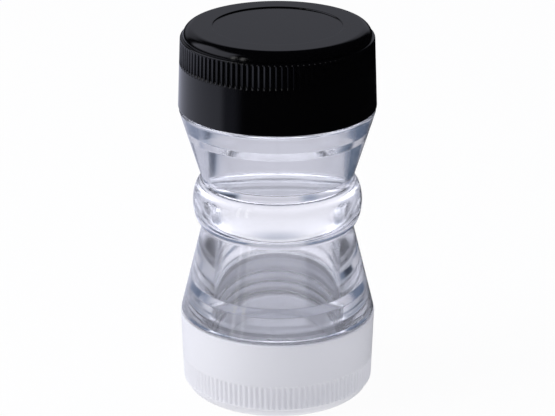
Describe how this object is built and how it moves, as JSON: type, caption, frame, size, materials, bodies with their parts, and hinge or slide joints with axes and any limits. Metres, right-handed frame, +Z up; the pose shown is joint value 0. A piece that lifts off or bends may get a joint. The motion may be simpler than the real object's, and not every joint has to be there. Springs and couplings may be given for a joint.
{
  "type": "two-compartment spice shaker",
  "caption": "Clear double-ended spice shaker with a ringed waist, a perforated insert in each neck and a ribbed screw cap on each end, black above and white below.",
  "frame": {"origin": "centre of the white cap's closed face, on which the shaker stands", "axes": "+Z up along the shaker's own axis, from the white salt end to the black pepper end"},
  "size_m": [0.043, 0.043, 0.0834],
  "materials": {
    "clear_plastic": "polished clear moulded plastic",
    "black_plastic": "glossy moulded black plastic",
    "white_plastic": "satin moulded white plastic",
    "sifter_plastic": "natural translucent moulded plastic",
    "liner_foam": "soft foamed sheet"
  },
  "bodies": {
    "container": {"body": "clear_plastic", "pepper_sifter": "sifter_plastic", "salt_sifter": "sifter_plastic"},
    "pepper_liner": {"pepper_liner": "liner_foam"},
    "pepper_cap": {"pepper_cap": "black_plastic"},
    "salt_liner": {"salt_liner": "liner_foam"},
    "salt_cap": {"salt_cap": "white_plastic"}
  },
  "joints": [
    {"name": "pepper_cap_lift", "type": "slide", "parent": "container", "child": "pepper_liner", "axis": [0, 0, 1], "range_m": [0, 0.0075]},
    {"name": "pepper_cap_turn", "type": "hinge", "parent": "pepper_liner", "child": "pepper_cap", "pos_m": [0, 0, 0.0816], "axis": [0, 0, 1], "range_deg": [0, 1080]},
    {"name": "salt_cap_lift", "type": "slide", "parent": "container", "child": "salt_liner", "axis": [0, 0, -1], "range_m": [0, 0.0075]},
    {"name": "salt_cap_turn", "type": "hinge", "parent": "salt_liner", "child": "salt_cap", "pos_m": [0, 0, 0.0018], "axis": [0, 0, -1], "range_deg": [0, 1080]}
  ],
  "couplings": [
    {"joint": "pepper_cap_lift", "follows": "pepper_cap_turn", "m_per_rad": 0.00039789},
    {"joint": "salt_cap_lift", "follows": "salt_cap_turn", "m_per_rad": 0.00039789}
  ]
}
